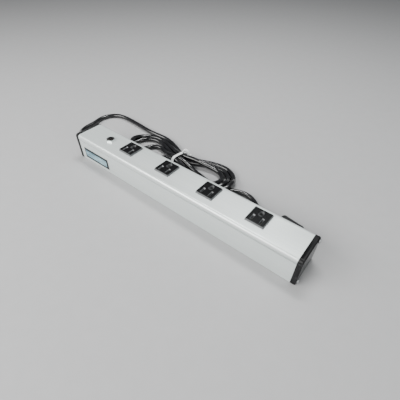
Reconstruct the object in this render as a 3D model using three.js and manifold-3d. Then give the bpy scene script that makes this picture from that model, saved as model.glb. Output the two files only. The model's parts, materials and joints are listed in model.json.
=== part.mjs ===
// Desk power strip: an extruded aluminium housing with four three-hole receptacles, a push-to-reset
// circuit breaker and a mains cord that is folded into a tied hank behind it.
// Millimetres. Origin at the bottom centre of the housing, +X along it and away from the cord's exit,
// +Y to the back, +Z up.
import * as THREE from "three";
import { mergeVertices } from "three/addons/utils/BufferGeometryUtils.js";
import Module from "manifold-3d";

const wasm = await Module();
wasm.setup();

// ---- Driving dimensions ----

// Fits
const clearance = 0.3; // between a piece and the hole, pocket or bore that is cut for it
const runningFit = 0.1; // between a pin and what turns on it
const beyond = 2; // how far a cutting tool runs past the face it cuts

// Housing
const overallLength = 406.4; // over both end caps
const width = 48.2;
const height = 44.4;
const wall = 2;
const topEdgeRadius = 4.5;
const bottomEdgeRadius = 1;
const skirt = 7.5; // how far the cover reaches down each side
const jointGap = 0.8; // the line between cover and channel
const tongueLength = 4.5;
const tongueThickness = 1.4;
const portRadius = 3.6; // round screw ports that run the whole length of both extrusions
const portBore = 1.9;
const portInset = 4.5; // port axis to the two nearest outer faces

// End caps
const capThickness = 6.5;
const capOverhang = 0.5; // over the housing's top and sides
const capChamfer = 1.5; // of its outer edge, along the strip
const capBevel = 1.1; // and across it
const capFootRadius = 2;
const lipDepth = 5; // the frame inside the cap that enters the channel
const lipWall = 2;

// End cap screws
const screwShankRadius = 1.6;
const screwReach = 14; // shank beyond the cap
const screwHeadRadius = 3;
const screwHeadHeight = 1.9;
const recessWidth = 0.9;
const recessSpan = 3.4;
const recessDepth = 1.1;

// Receptacles
const receptacleCount = 4;
const receptaclePitch = 76.2;
const receptacleY = 2.9;
const faceSize = 24.4; // top of the raised face
const flangeSize = 26.4; // where it sits on the cover
const faceRise = 3.5;
const faceFloor = 2.5; // solid part of the face below the cover's top
const bodySize = 24;
const bodyDepth = 15;
const latchReach = 1.2;
const latchHeight = 4;
const latchLength = 9;
const rearDepth = 10;
const rearFloor = 2;
const bodyWall = 2;
const bladeHalfSpacing = 6.35;
const bladeSlotY = -5.6; // both blade slots, from the receptacle's centre
const groundHoleY = bladeSlotY + 11.9;
const slotWidth = 2.2;
const hotSlotLength = 7;
const neutralSlotLength = 8.6;
const groundHoleWidth = 5.4;
const groundHoleLength = 6.2;
const leadIn = 1; // funnel round each hole

// Contacts inside a receptacle
const leafThickness = 0.7;
const leafWidth = 7;
const bladeGap = 1.4; // between a blade contact's two leaves
const groundGap = 4.8;
const groundLeafWidth = 5;
const contactBase = 1.5;
const tabWidth = 3.4;
const wireRadius = 1.2;
const tabEnd = 2; // tab below the axis of the wire in it

// Bus wires, along the strip
const hotWireHeight = 15;
const neutralWireHeight = 10;
const groundWireHeight = 15;
const wireEnd = 6; // wire beyond the last tab

// Circuit breaker, under the cover at the cord end
const breakerInset = 54.2; // its axis to the housing's left end
const breakerToReceptacle = 46.5;
const breakerY = 1;
const neckRadius = 4.7;
const neckRise = 3;
const neckDepth = 10; // below the cover's top
const neckFloor = 1.2;
const nutAcrossFlats = 12.7;
const nutHeight = 2.5;
const caseLength = 32;
const caseWidth = 15;
const caseDepth = 21;
const caseWall = 1.5;
const buttonRadius = 3.2;
const buttonRise = 1.4; // above the neck when set
const buttonSkirt = 1; // button's underside below the cover's top
const stemRadius = 1.2;
const buttonTravel = 3.5;
const collarRadius = 2.2;
const collarThickness = 1;
const springWire = 0.7;
const springTurns = 5;
const armLength = 19;
const armWidth = 5;
const armThickness = 0.8;
const pivotOffset = 11; // button axis to the arm's pin
const pinRadius = 0.8;
const terminalY = -3.2; // both terminal strips, from the button's axis
const barrelRadius = 1.8;
const stripThickness = 0.8;

// Ground bond
const bondX = 27; // from the housing's left end
const bondY = -9;
const bossRadius = 4;
const bossHeight = 4;
const bondScrewRadius = 1.5;
const bondHeadRadius = 3.4;
const bondHeadHeight = 2.4;
const lugThickness = 1;
const lugLength = 10;

// Name plate on the front
const plateInset = 10.3; // from the housing's left end
const plateLength = 59.6;
const plateHeight = 18.6;
const plateBottom = 6.7;
const plateThickness = 0.5;

// Cord
const cordDiameter = 8;
const cordExitFromBack = 16.1;
const cordExitZ = 14;
const bootFlangeRadius = 9;
const bootFlangeThickness = 2.5;
const bootNeckRadius = 7.4;
const bootLength = 30;
const bootRootRadius = 6.6;
const bootTipRadius = 5;
const jacketInside = 12;
const onFloor = cordDiameter / 2 + 0.1; // height of the cord's axis where it lies on the floor

// Everything below, down to the plug's place, is measured from the housing's back left bottom corner.
// The cord's free stretches, between its straight ends
const straightEnd = 4;
const leadRoute = [
  [-49, -13.7, 11],
  [-59.4, -6.7, 7.5],
  [-66.4, 3.7, 5],
  [-69.3, 15.9, onFloor],
  [-70.3, 29.9, onFloor],
  [-72.8, 41.9, onFloor],
  [-74.3, 52.9, onFloor],
  [-71.8, 65, onFloor],
  [-64.6, 75.7, onFloor],
  [-53.9, 82.9, onFloor],
  [-41.3, 85.4, onFloor],
  [-24.8, 85.5, onFloor],
  [-6.8, 84.2, onFloor],
  [13.2, 81.9, onFloor],
  [33.2, 79.3, onFloor],
  [53.2, 77.9, onFloor],
  [63.2, 77.5, onFloor],
];
const tailRoute = [
  [230.2, 29.9, onFloor],
  [244.2, 31.1, onFloor],
  [256.2, 35.5, onFloor],
  [266.2, 40.1, onFloor],
  [275.2, 43.1, onFloor],
  [283.2, 43.7, onFloor],
  [291.7, 41.9, onFloor],
  [299.7, 37.8, 4.8],
  [306.7, 32.3, 6.3],
  [313.7, 26.9, 8.4],
  [321.2, 22.8, 10.3],
];

// Hank: two round lobes joined by a waist where the tie holds it
const hankHeight = 16.5;
// turn is how far each lobe's arc runs to either side of its outer end, in degrees
const rightLobe = { x: 220.2, y: 39.9, radius: 38.4, turn: 110 };
const leftLobe = { x: 75.2, y: 41.1, radius: 40.5, turn: 110 };
const waistX = 144.2;
const waistLength = 6;
const waistNear = 28.1;
const waistFar = 61.1;
const tieWidth = 4.4;
const tieThickness = 1.2;
const tieCorner = 5;

// Plug, lying behind the strip with its blades towards +X. It is drawn from the tip of its relief.
const plugTip = { x: 332.2, y: 19.9 };
const plugYaw = -8; // degrees, towards the housing
const plugLength = 32;
const plugWidth = 26;
const plugHeight = 22;
const plugCorner = 8.5;
const plugRound = 3;
const plugReliefLength = 16;
const plugReliefRoot = 7.6;
const plugReliefTip = 5.2;
const plugBladeY = 5.5; // blades from the body's centre, away from the housing
const plugGroundY = plugBladeY - 11.9;
const plugBladeLength = 17.5;
const plugGroundLength = 20.6;
const plugBladeThickness = 1.5;
const plugHotWidth = 6.3;
const plugNeutralWidth = 7.9;
const plugGroundRadius = 2.4;
const plugPocket = 6; // how deep the blades sit in the body

// ---- Places that follow from them ----

const halfWidth = width / 2;
const housingLeft = -overallLength / 2 + capThickness;
const housingRight = -housingLeft;
const skirtBottom = height - skirt;
const channelTop = skirtBottom - jointGap;
const breakerX = housingLeft + breakerInset;
const firstReceptacleX = breakerX + breakerToReceptacle;
const lastReceptacleX = firstReceptacleX + (receptacleCount - 1) * receptaclePitch;
const coverPort = { y: halfWidth - portInset, z: height - portInset };
const channelPort = { y: -halfWidth + portInset, z: portInset };
const tabX = { hot: -bladeHalfSpacing, neutral: bladeHalfSpacing, ground: 0 };
const tabY = {
  hot: bladeSlotY - leafWidth / 2 + tabWidth / 2,
  neutral: bladeSlotY + leafWidth / 2 - tabWidth / 2 + clearance,
  ground: groundHoleY,
};
const hotWireY = receptacleY + tabY.hot;
const neutralWireY = receptacleY + tabY.neutral;
const groundWireY = receptacleY + tabY.ground;
const cordExitY = halfWidth - cordExitFromBack;

// ---- Materials ----

function finish(color, roughness, metalness) {
  return new THREE.MeshStandardMaterial({ color, roughness, metalness });
}
const aluminium = finish(0xc9d1cf, 0.42, 0.9);
const capPlastic = finish(0x17191b, 0.35, 0);
const facePlastic = finish(0x141516, 0.3, 0);
const bakelite = finish(0x2a211c, 0.5, 0);
const brass = finish(0xc9a44f, 0.35, 1);
const steel = finish(0xd6d8da, 0.25, 1);
const springSteel = finish(0x9a9da1, 0.35, 1);
const bimetal = finish(0xb98f62, 0.4, 1);
const cordPvc = finish(0x121315, 0.32, 0);
const tiePlastic = finish(0xf1f2f0, 0.5, 0);
const plateFilm = finish(0x9fc3cf, 0.35, 0.1);
const blackWire = finish(0x101010, 0.45, 0);
const whiteWire = finish(0xe9e9e4, 0.45, 0);
const greenWire = finish(0x2b7d3c, 0.45, 0);

// ---- Shapes ----

const xAxis = new THREE.Vector3(1, 0, 0);
const yAxis = new THREE.Vector3(0, 1, 0);
const zAxis = new THREE.Vector3(0, 0, 1);
const alongX = new THREE.Matrix4().makeBasis(yAxis, zAxis, xAxis); // outline in (y, z), depth along +X
const alongY = new THREE.Matrix4().makeBasis(xAxis, zAxis, yAxis.clone().negate()); // (x, z), along -Y
const latheToZ = new THREE.Matrix4().makeBasis(xAxis, zAxis, yAxis.clone().negate());
const latheToX = new THREE.Matrix4().makeBasis(yAxis.clone().negate(), xAxis, zAxis);
const latheToMinusX = new THREE.Matrix4().makeBasis(yAxis, xAxis.clone().negate(), zAxis);

const arcSegments = 8;

function outline(points) {
  return new THREE.Shape(points.map(([u, v]) => new THREE.Vector2(u, v)));
}

function roundedOutline(u0, u1, v0, v1, radius) {
  const shape = new THREE.Shape();
  shape.absarc(u1 - radius, v1 - radius, radius, 0, Math.PI / 2);
  shape.absarc(u0 + radius, v1 - radius, radius, Math.PI / 2, Math.PI);
  shape.absarc(u0 + radius, v0 + radius, radius, Math.PI, Math.PI * 1.5);
  shape.absarc(u1 - radius, v0 + radius, radius, Math.PI * 1.5, Math.PI * 2);
  return shape;
}

function extrude(shape, depth) {
  return new THREE.ExtrudeGeometry(shape, { depth, bevelEnabled: false, curveSegments: arcSegments });
}

function extrudeX(shape, x0, x1) {
  return extrude(shape, x1 - x0).applyMatrix4(alongX).translate(x0, 0, 0);
}

function extrudeY(shape, y0, y1) {
  return extrude(shape, y1 - y0).applyMatrix4(alongY).translate(0, y1, 0);
}

function extrudeZ(shape, z0, z1) {
  return extrude(shape, z1 - z0).translate(0, 0, z0);
}

function block(x0, x1, y0, y1, z0, z1) {
  const box = new THREE.BoxGeometry(x1 - x0, y1 - y0, z1 - z0);
  return box.translate((x0 + x1) / 2, (y0 + y1) / 2, (z0 + z1) / 2);
}

function blockAt(x, y, lengthX, lengthY, z0, z1) {
  return block(x - lengthX / 2, x + lengthX / 2, y - lengthY / 2, y + lengthY / 2, z0, z1);
}

function rodX(radius, x0, x1, y, z, sides = 16) {
  const rod = new THREE.CylinderGeometry(radius, radius, x1 - x0, sides);
  return rod.rotateZ(-Math.PI / 2).translate((x0 + x1) / 2, y, z);
}

function rodY(radius, y0, y1, x, z, sides = 16) {
  const rod = new THREE.CylinderGeometry(radius, radius, y1 - y0, sides);
  return rod.translate(x, (y0 + y1) / 2, z);
}

function rodZ(radius, z0, z1, x, y, sides = 24) {
  const rod = new THREE.CylinderGeometry(radius, radius, z1 - z0, sides);
  return rod.rotateX(Math.PI / 2).translate(x, y, (z0 + z1) / 2);
}

// A profile of [radius, distance along the axis] points that starts and ends on the axis.
function turned(points, axis, sides = 24) {
  const profile = points.map(([radius, along]) => new THREE.Vector2(radius, along));
  return new THREE.LatheGeometry(profile, sides).applyMatrix4(axis);
}

function circle(radius, sides) {
  const corners = Array.from({ length: sides }, (_, i) => (2 * Math.PI * i) / sides);
  return outline(corners.map((a) => [radius * Math.cos(a), radius * Math.sin(a)]));
}

function tube(curve, radius, steps, sides) {
  return new THREE.ExtrudeGeometry(circle(radius, sides), { steps, extrudePath: curve });
}

function smooth(points) {
  const vectors = points.map(([x, y, z]) => new THREE.Vector3(x, y, z));
  return new THREE.CatmullRomCurve3(vectors, false, "centripetal");
}

// ---- Cutting and joining ----

function solidOf(piece) {
  if (!piece.isBufferGeometry) return piece;
  const bare = piece.clone();
  bare.deleteAttribute("normal");
  bare.deleteAttribute("uv");
  const merged = mergeVertices(bare, 1e-4);
  const corners = merged.index.array;
  const faces = [];
  for (let i = 0; i < corners.length; i += 3) {
    const [a, b, c] = corners.slice(i, i + 3);
    if (a !== b && b !== c && c !== a) faces.push(a, b, c);
  }
  const vertProperties = merged.attributes.position.array;
  return new wasm.Manifold(new wasm.Mesh({ numProp: 3, vertProperties, triVerts: new Uint32Array(faces) }));
}

function join(...pieces) {
  return pieces.map(solidOf).reduce((whole, piece) => whole.add(piece));
}

function cut(base, ...tools) {
  return tools.map(solidOf).reduce((rest, tool) => rest.subtract(tool), solidOf(base));
}

function overlapOf(a, b) {
  return solidOf(a).intersect(solidOf(b));
}

function geometryOf(piece) {
  if (piece.isBufferGeometry) return piece;
  const mesh = piece.getMesh();
  const geometry = new THREE.BufferGeometry();
  geometry.setAttribute("position", new THREE.BufferAttribute(mesh.vertProperties, 3));
  geometry.setIndex(new THREE.BufferAttribute(mesh.triVerts, 1));
  geometry.computeVertexNormals();
  return geometry;
}

const strip = new THREE.Group();

function add(name, piece, material, group = strip) {
  const mesh = new THREE.Mesh(geometryOf(piece), material);
  mesh.name = name;
  group.add(mesh);
}

// ---- Housing ----

function coverProfile() {
  const tongueOuter = halfWidth - wall - clearance;
  const tongueInner = tongueOuter - tongueThickness;
  const tongueBottom = skirtBottom - tongueLength;
  const shape = new THREE.Shape();
  shape.moveTo(-halfWidth, skirtBottom);
  shape.lineTo(-halfWidth, height - topEdgeRadius);
  shape.absarc(-halfWidth + topEdgeRadius, height - topEdgeRadius, topEdgeRadius, Math.PI, Math.PI / 2, true);
  shape.absarc(halfWidth - topEdgeRadius, height - topEdgeRadius, topEdgeRadius, Math.PI / 2, 0, true);
  shape.lineTo(halfWidth, skirtBottom);
  shape.lineTo(tongueOuter, skirtBottom);
  shape.lineTo(tongueOuter, tongueBottom);
  shape.lineTo(tongueInner, tongueBottom);
  shape.lineTo(tongueInner, height - wall);
  shape.lineTo(-tongueInner, height - wall);
  shape.lineTo(-tongueInner, tongueBottom);
  shape.lineTo(-tongueOuter, tongueBottom);
  shape.lineTo(-tongueOuter, skirtBottom);
  return shape;
}

function channelProfile() {
  const inner = halfWidth - wall;
  const shape = new THREE.Shape();
  shape.moveTo(-inner, channelTop);
  shape.lineTo(-halfWidth, channelTop);
  shape.lineTo(-halfWidth, bottomEdgeRadius);
  shape.absarc(-halfWidth + bottomEdgeRadius, bottomEdgeRadius, bottomEdgeRadius, Math.PI, Math.PI * 1.5);
  shape.absarc(halfWidth - bottomEdgeRadius, bottomEdgeRadius, bottomEdgeRadius, Math.PI * 1.5, Math.PI * 2);
  shape.lineTo(halfWidth, channelTop);
  shape.lineTo(inner, channelTop);
  shape.lineTo(inner, wall);
  shape.lineTo(-inner, wall);
  return shape;
}

function withPort(profile, port) {
  const whole = join(
    extrudeX(profile, housingLeft, housingRight),
    rodX(portRadius, housingLeft, housingRight, port.y, port.z, 20),
  );
  return cut(whole, rodX(portBore, housingLeft - beyond, housingRight + beyond, port.y, port.z, 16));
}

function makeHousing() {
  const windowSize = bodySize + 2 * clearance;
  const windows = [];
  for (let i = 0; i < receptacleCount; i++) {
    const x = firstReceptacleX + i * receptaclePitch;
    windows.push(blockAt(x, receptacleY, windowSize, windowSize, height - wall - beyond, height + beyond));
  }
  const neckHole = rodZ(
    neckRadius + clearance, height - wall - beyond, height + beyond, breakerX, breakerY, 32,
  );
  add("top_cover", cut(withPort(coverProfile(), coverPort), ...windows, neckHole), aluminium);

  const x = housingLeft + bondX;
  const channel = join(
    withPort(channelProfile(), channelPort),
    rodZ(bossRadius, wall / 2, wall + bossHeight, x, bondY, 20),
  );
  const thread = rodZ(bondScrewRadius + clearance, wall, wall + bossHeight + beyond, x, bondY, 16);
  add("base_channel", cut(channel, thread), aluminium);
}

// ---- End caps and their screws ----

// The cap's outline, inset all round so that the bevel grows it back to full size
function capOutline(inset) {
  const outer = halfWidth + capOverhang;
  const top = height + capOverhang;
  const topRadius = topEdgeRadius + capOverhang;
  const shape = new THREE.Shape();
  shape.absarc(outer - topRadius, top - topRadius, topRadius - inset, 0, Math.PI / 2);
  shape.absarc(-outer + topRadius, top - topRadius, topRadius - inset, Math.PI / 2, Math.PI);
  shape.absarc(-outer + capFootRadius, capFootRadius, capFootRadius - inset, Math.PI, Math.PI * 1.5);
  shape.absarc(outer - capFootRadius, capFootRadius, capFootRadius - inset, Math.PI * 1.5, Math.PI * 2);
  return shape;
}

// side is -1 for the cord end and 1 for the other end
function makeEndCap(name, side, holes) {
  const bevelled = new THREE.ExtrudeGeometry(capOutline(capBevel), {
    depth: 2 * (capThickness - capChamfer),
    bevelThickness: capChamfer,
    bevelSize: capBevel,
    bevelSegments: 3,
    curveSegments: arcSegments,
  });
  bevelled.applyMatrix4(alongX).translate(capChamfer - capThickness, 0, 0);
  // Both ends are bevelled: the outer half is kept.
  const plate = overlapOf(bevelled, block(0, capThickness, -width, width, 0, 2 * height));

  const inner = halfWidth - wall - clearance;
  const lipTop = skirtBottom - tongueLength - clearance;
  const lipBottom = wall + clearance;
  const frame = block(-lipDepth, capChamfer, -inner, inner, lipBottom, lipTop);
  const hollow = block(
    -lipDepth - beyond, 0, -inner + lipWall, inner - lipWall, lipBottom + lipWall, lipTop - lipWall,
  );
  const portRoom = rodX(
    portRadius + clearance, -lipDepth - beyond, 0, side * channelPort.y, channelPort.z, 20,
  );
  // The cap is drawn for +X and turned half round for -X, which also mirrors its Y.
  const cap = cut(join(plate, cut(frame, hollow, portRoom)), ...holes.map(([radius, y, z, sides]) =>
    rodX(radius, -lipDepth - beyond, capThickness + beyond, side * y, z, sides)));
  const geometry = geometryOf(cap);
  if (side < 0) geometry.rotateZ(Math.PI);
  add(name, geometry.translate(side * housingRight, 0, 0), capPlastic);
}

function makeScrew(name, side, port) {
  const dome = screwHeadHeight * 0.45;
  const head = turned(
    [
      [0, -screwReach - capThickness],
      [screwShankRadius * 0.5, -screwReach - capThickness],
      [screwShankRadius, -screwReach - capThickness + screwShankRadius],
      [screwShankRadius, 0],
      [screwHeadRadius, 0],
      [screwHeadRadius, screwHeadHeight - dome],
      [screwHeadRadius * 0.85, screwHeadHeight - dome * 0.4],
      [screwHeadRadius * 0.55, screwHeadHeight],
      [0, screwHeadHeight],
    ],
    latheToX,
    20,
  );
  const recessFrom = screwHeadHeight - recessDepth;
  const recessTo = screwHeadHeight + beyond;
  const screw = cut(
    head,
    block(recessFrom, recessTo, -recessSpan / 2, recessSpan / 2, -recessWidth / 2, recessWidth / 2),
    block(recessFrom, recessTo, -recessWidth / 2, recessWidth / 2, -recessSpan / 2, recessSpan / 2),
  );
  const geometry = geometryOf(screw);
  if (side < 0) geometry.rotateZ(Math.PI);
  add(name, geometry.translate((side * overallLength) / 2, port.y, port.z), steel);
}

function makeEnds() {
  const screwHole = screwShankRadius + clearance;
  const screwHoles = [coverPort, channelPort].map((port) => [screwHole, port.y, port.z, 16]);
  const cordHole = [bootNeckRadius + clearance, cordExitY, cordExitZ, 28];
  makeEndCap("end_cap_left", -1, [...screwHoles, cordHole]);
  makeEndCap("end_cap_right", 1, screwHoles);
  makeScrew("cap_screw_left_upper", -1, coverPort);
  makeScrew("cap_screw_left_lower", -1, channelPort);
  makeScrew("cap_screw_right_upper", 1, coverPort);
  makeScrew("cap_screw_right_lower", 1, channelPort);
}

// ---- Receptacles, drawn about their own centre with z = 0 on the cover ----

function raisedFace() {
  // A four-sided frustum: the face with its sloping sides
  const corner = Math.SQRT1_2;
  const frustum = new THREE.CylinderGeometry(faceSize * corner, flangeSize * corner, faceRise, 4);
  return frustum.rotateY(Math.PI / 4).rotateX(Math.PI / 2).translate(0, 0, faceRise / 2);
}

function groundHoleOutline() {
  const radius = groundHoleWidth / 2;
  const shape = new THREE.Shape();
  shape.moveTo(-radius, groundHoleY - groundHoleLength / 2);
  shape.lineTo(radius, groundHoleY - groundHoleLength / 2);
  shape.absarc(0, groundHoleY + groundHoleLength / 2 - radius, radius, 0, Math.PI);
  return shape;
}

function slotOutline(x, length) {
  return outline([
    [x - slotWidth / 2, bladeSlotY - length / 2],
    [x + slotWidth / 2, bladeSlotY - length / 2],
    [x + slotWidth / 2, bladeSlotY + length / 2],
    [x - slotWidth / 2, bladeSlotY + length / 2],
  ]);
}

// Straight through, with a funnel at the top
function holeTool(shape) {
  const funnel = new THREE.ExtrudeGeometry(shape, {
    depth: beyond, bevelThickness: leadIn, bevelSize: leadIn, bevelSegments: 1, curveSegments: arcSegments,
  });
  return join(extrudeZ(shape, -faceFloor - beyond, faceRise + beyond), funnel.translate(0, 0, faceRise));
}

function receptacleFace() {
  const half = bodySize / 2;
  const latchTop = -wall - clearance;
  const latch = outline([
    [half - clearance, latchTop],
    [half + latchReach, latchTop],
    [half, latchTop - latchHeight],
    [half - clearance, latchTop - latchHeight],
  ]);
  const rightLatch = extrudeY(latch, -latchLength / 2, latchLength / 2);
  const leftLatch = rightLatch.clone().rotateZ(Math.PI);
  const inner = bodySize - 2 * bodyWall;
  return cut(
    join(raisedFace(), blockAt(0, 0, bodySize, bodySize, -bodyDepth, 0), rightLatch, leftLatch),
    blockAt(0, 0, inner, inner, -bodyDepth - beyond, -faceFloor),
    holeTool(groundHoleOutline()),
    holeTool(slotOutline(-bladeHalfSpacing, hotSlotLength)),
    holeTool(slotOutline(bladeHalfSpacing, neutralSlotLength)),
  );
}

function receptacleRear() {
  const inner = bodySize - 2 * bodyWall;
  const bottom = -bodyDepth - rearDepth;
  const slots = ["hot", "neutral", "ground"].map((kind) =>
    blockAt(
      tabX[kind], tabY[kind], leafThickness + 2 * clearance, tabWidth + 2 * clearance, bottom - beyond,
      bottom + rearDepth / 2,
    ));
  return cut(
    blockAt(0, 0, bodySize, bodySize, bottom, -bodyDepth),
    blockAt(0, 0, inner, inner, bottom + rearFloor, -bodyDepth + beyond),
    ...slots,
  );
}

// Two springy leaves on a base, with a tab below that the bus wire passes through
function contact(kind, gap, centreY, length, wireHeight) {
  const base = -bodyDepth - rearDepth + rearFloor;
  const top = -faceFloor - 2 * clearance;
  const inner = gap / 2;
  const outer = inner + leafThickness;
  const lip = 2 * leafThickness;
  const fork = outline([
    [-outer, base],
    [outer, base],
    [outer, top - lip],
    [outer + clearance, top],
    [inner + clearance, top],
    [inner, top - lip],
    [inner, base + contactBase],
    [-inner, base + contactBase],
    [-inner, top - lip],
    [-inner - clearance, top],
    [-outer - clearance, top],
    [-outer, top - lip],
  ]);
  const wireZ = wireHeight - height;
  const y = tabY[kind];
  const tab = block(
    -leafThickness / 2, leafThickness / 2, y - tabWidth / 2, y + tabWidth / 2,
    wireZ - tabEnd - wireRadius, base + contactBase / 2,
  );
  const hole = rodX(wireRadius + clearance, -leafThickness - beyond, leafThickness + beyond, y, wireZ, 12);
  const piece = cut(join(extrudeY(fork, centreY - length / 2, centreY + length / 2), tab), hole);
  return geometryOf(piece).translate(tabX[kind], 0, 0);
}

function makeReceptacles() {
  const contacts = [
    ["hot", bladeGap, bladeSlotY, leafWidth, hotWireHeight],
    ["neutral", bladeGap, bladeSlotY, leafWidth, neutralWireHeight],
    ["ground", groundGap, groundHoleY, groundLeafWidth, groundWireHeight],
  ];
  for (let i = 0; i < receptacleCount; i++) {
    const group = new THREE.Group();
    group.position.set(firstReceptacleX + i * receptaclePitch, receptacleY, height);
    strip.add(group);
    const name = `receptacle_${i + 1}`;
    add(`${name}_face`, receptacleFace(), facePlastic, group);
    add(`${name}_rear_cover`, receptacleRear(), bakelite, group);
    for (const [kind, gap, y, length, wireHeight] of contacts) {
      add(`${name}_${kind}_contact`, contact(kind, gap, y, length, wireHeight), brass, group);
    }
  }
}

// ---- Circuit breaker, drawn about the button's axis with z = 0 on the cover ----

const neckBore = buttonRadius + clearance;
const neckBottom = -neckDepth; // underside of the neck inside the case
const springFloor = neckBottom + neckFloor;
const collarTop = neckBottom - buttonTravel - runningFit;
const armTop = collarTop - collarThickness - clearance;
const armAxisZ = armTop - armThickness / 2;
const caseBottom = -wall - caseDepth;
const baseTop = caseBottom + caseWall;
const lineTabX = -caseLength / 2 + 4.5;
const loadTabX = pivotOffset;

function breakerCase() {
  const half = caseLength / 2;
  const side = caseWidth / 2;
  const shell = cut(
    block(-half, half, -side, side, caseBottom, -wall),
    block(
      -half + caseWall, half - caseWall, -side + caseWall, side - caseWall,
      caseBottom - beyond, -wall - caseWall,
    ),
  );
  const neck = rodZ(neckRadius, neckBottom, neckRise, 0, 0, 32);
  const seatReach = side - caseWall / 2;
  const pinSeat = rodY(pinRadius + runningFit, -seatReach, seatReach, pivotOffset, armAxisZ, 12);
  return cut(
    join(shell, neck),
    rodZ(neckBore, springFloor, neckRise + beyond, 0, 0, 24),
    rodZ(stemRadius + clearance, neckBottom - beyond, springFloor + beyond, 0, 0, 16),
    pinSeat,
  );
}

function breakerBase() {
  const length = caseLength - 2 * caseWall - 2 * clearance;
  const depth = caseWidth - 2 * caseWall - 2 * clearance;
  const slotLength = stripThickness + 2 * clearance;
  const slotDepth = tabWidth + 2 * clearance;
  const slots = [lineTabX, loadTabX].map((x) =>
    blockAt(x, terminalY, slotLength, slotDepth, caseBottom - beyond, baseTop + beyond));
  return cut(blockAt(0, 0, length, depth, caseBottom, baseTop), ...slots);
}

function breakerNut() {
  const corner = nutAcrossFlats / Math.sqrt(3);
  const bevel = nutHeight * 0.25;
  const hexagon = rodZ(corner, 0, nutHeight, 0, 0, 6);
  const rounding = turned(
    [
      [0, 0],
      [corner * 1.02, 0],
      [corner * 1.02, nutHeight - bevel],
      [corner * 0.9, nutHeight],
      [0, nutHeight],
    ],
    latheToZ,
    36,
  );
  const bore = rodZ(neckRadius + clearance, -beyond, nutHeight + beyond, 0, 0, 32);
  return cut(overlapOf(hexagon, rounding), bore);
}

function resetButton() {
  const top = neckRise + buttonRise;
  return turned(
    [
      [0, collarTop - collarThickness],
      [collarRadius, collarTop - collarThickness],
      [collarRadius, collarTop],
      [stemRadius, collarTop],
      [stemRadius, -buttonSkirt],
      [buttonRadius, -buttonSkirt],
      [buttonRadius, top - 0.6],
      [buttonRadius * 0.9, top - 0.15],
      [buttonRadius * 0.7, top],
      [0, top],
    ],
    latheToZ,
    24,
  );
}

class Coil extends THREE.Curve {
  constructor(radius, z0, z1, turns) {
    super();
    Object.assign(this, { radius, z0, z1, turns });
  }

  getPoint(t, target = new THREE.Vector3()) {
    const angle = 2 * Math.PI * this.turns * t;
    const z = this.z0 + (this.z1 - this.z0) * t;
    return target.set(this.radius * Math.cos(angle), this.radius * Math.sin(angle), z);
  }
}

function resetSpring() {
  const radius = (stemRadius + neckBore) / 2;
  const seat = springWire / 2 + clearance / 2;
  const coil = new Coil(radius, springFloor + seat, -buttonSkirt - seat, springTurns);
  return tube(coil, springWire / 2, springTurns * 12, 6);
}

function contactArm() {
  const strap = block(
    pivotOffset - armLength, pivotOffset, -armWidth / 2, armWidth / 2, armTop - armThickness, armTop,
  );
  const barrel = rodY(barrelRadius, -armWidth / 2, armWidth / 2, pivotOffset, armAxisZ, 16);
  const pinHole = rodY(pinRadius + runningFit, -armWidth, armWidth, pivotOffset, armAxisZ, 12);
  return cut(join(strap, barrel), pinHole);
}

function armPin() {
  const reach = caseWidth / 2 - caseWall / 2 - clearance;
  return rodY(pinRadius, -reach, reach, pivotOffset, armAxisZ, 12);
}

// A strip with the hole for its wire at the bottom; the line strip turns in under the arm's free end.
function terminal(x, top, foot) {
  const y0 = terminalY - tabWidth / 2;
  const wireZ = hotWireHeight - height;
  const half = stripThickness / 2;
  const strap = block(x - half, x + half, y0, y0 + tabWidth, wireZ - tabEnd - wireRadius, top);
  const parts = foot ? [strap, foot] : [strap];
  return cut(join(...parts), rodX(wireRadius + clearance, x - beyond, x + beyond, terminalY, wireZ, 12));
}

function makeBreaker() {
  const group = new THREE.Group();
  group.position.set(breakerX, breakerY, height);
  strip.add(group);
  add("breaker_case", breakerCase(), bakelite, group);
  add("breaker_base", breakerBase(), bakelite, group);
  add("breaker_nut", breakerNut(), steel, group);
  add("reset_button", resetButton(), facePlastic, group);
  add("reset_spring", resetSpring(), springSteel, group);
  add("contact_arm", contactArm(), bimetal, group);
  add("contact_arm_pin", armPin(), steel, group);
  const contactTop = armTop - armThickness - clearance;
  const foot = block(
    lineTabX - stripThickness / 2, pivotOffset - armLength + 5, terminalY - tabWidth / 2, 0.5,
    contactTop - stripThickness, contactTop,
  );
  add("line_terminal", terminal(lineTabX, contactTop, foot), brass, group);
  add("load_terminal", terminal(loadTabX, armAxisZ - barrelRadius - clearance), brass, group);
}

// ---- Wires and the ground bond ----

const jacketEndX = housingLeft + jacketInside;

function wireFromCord(offsetY, offsetZ, ...points) {
  const start = [jacketEndX + clearance, cordExitY + offsetY, cordExitZ + offsetZ];
  const leave = [jacketEndX + 5, cordExitY + offsetY, cordExitZ + offsetZ];
  return smooth([start, leave, ...points]);
}

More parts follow.
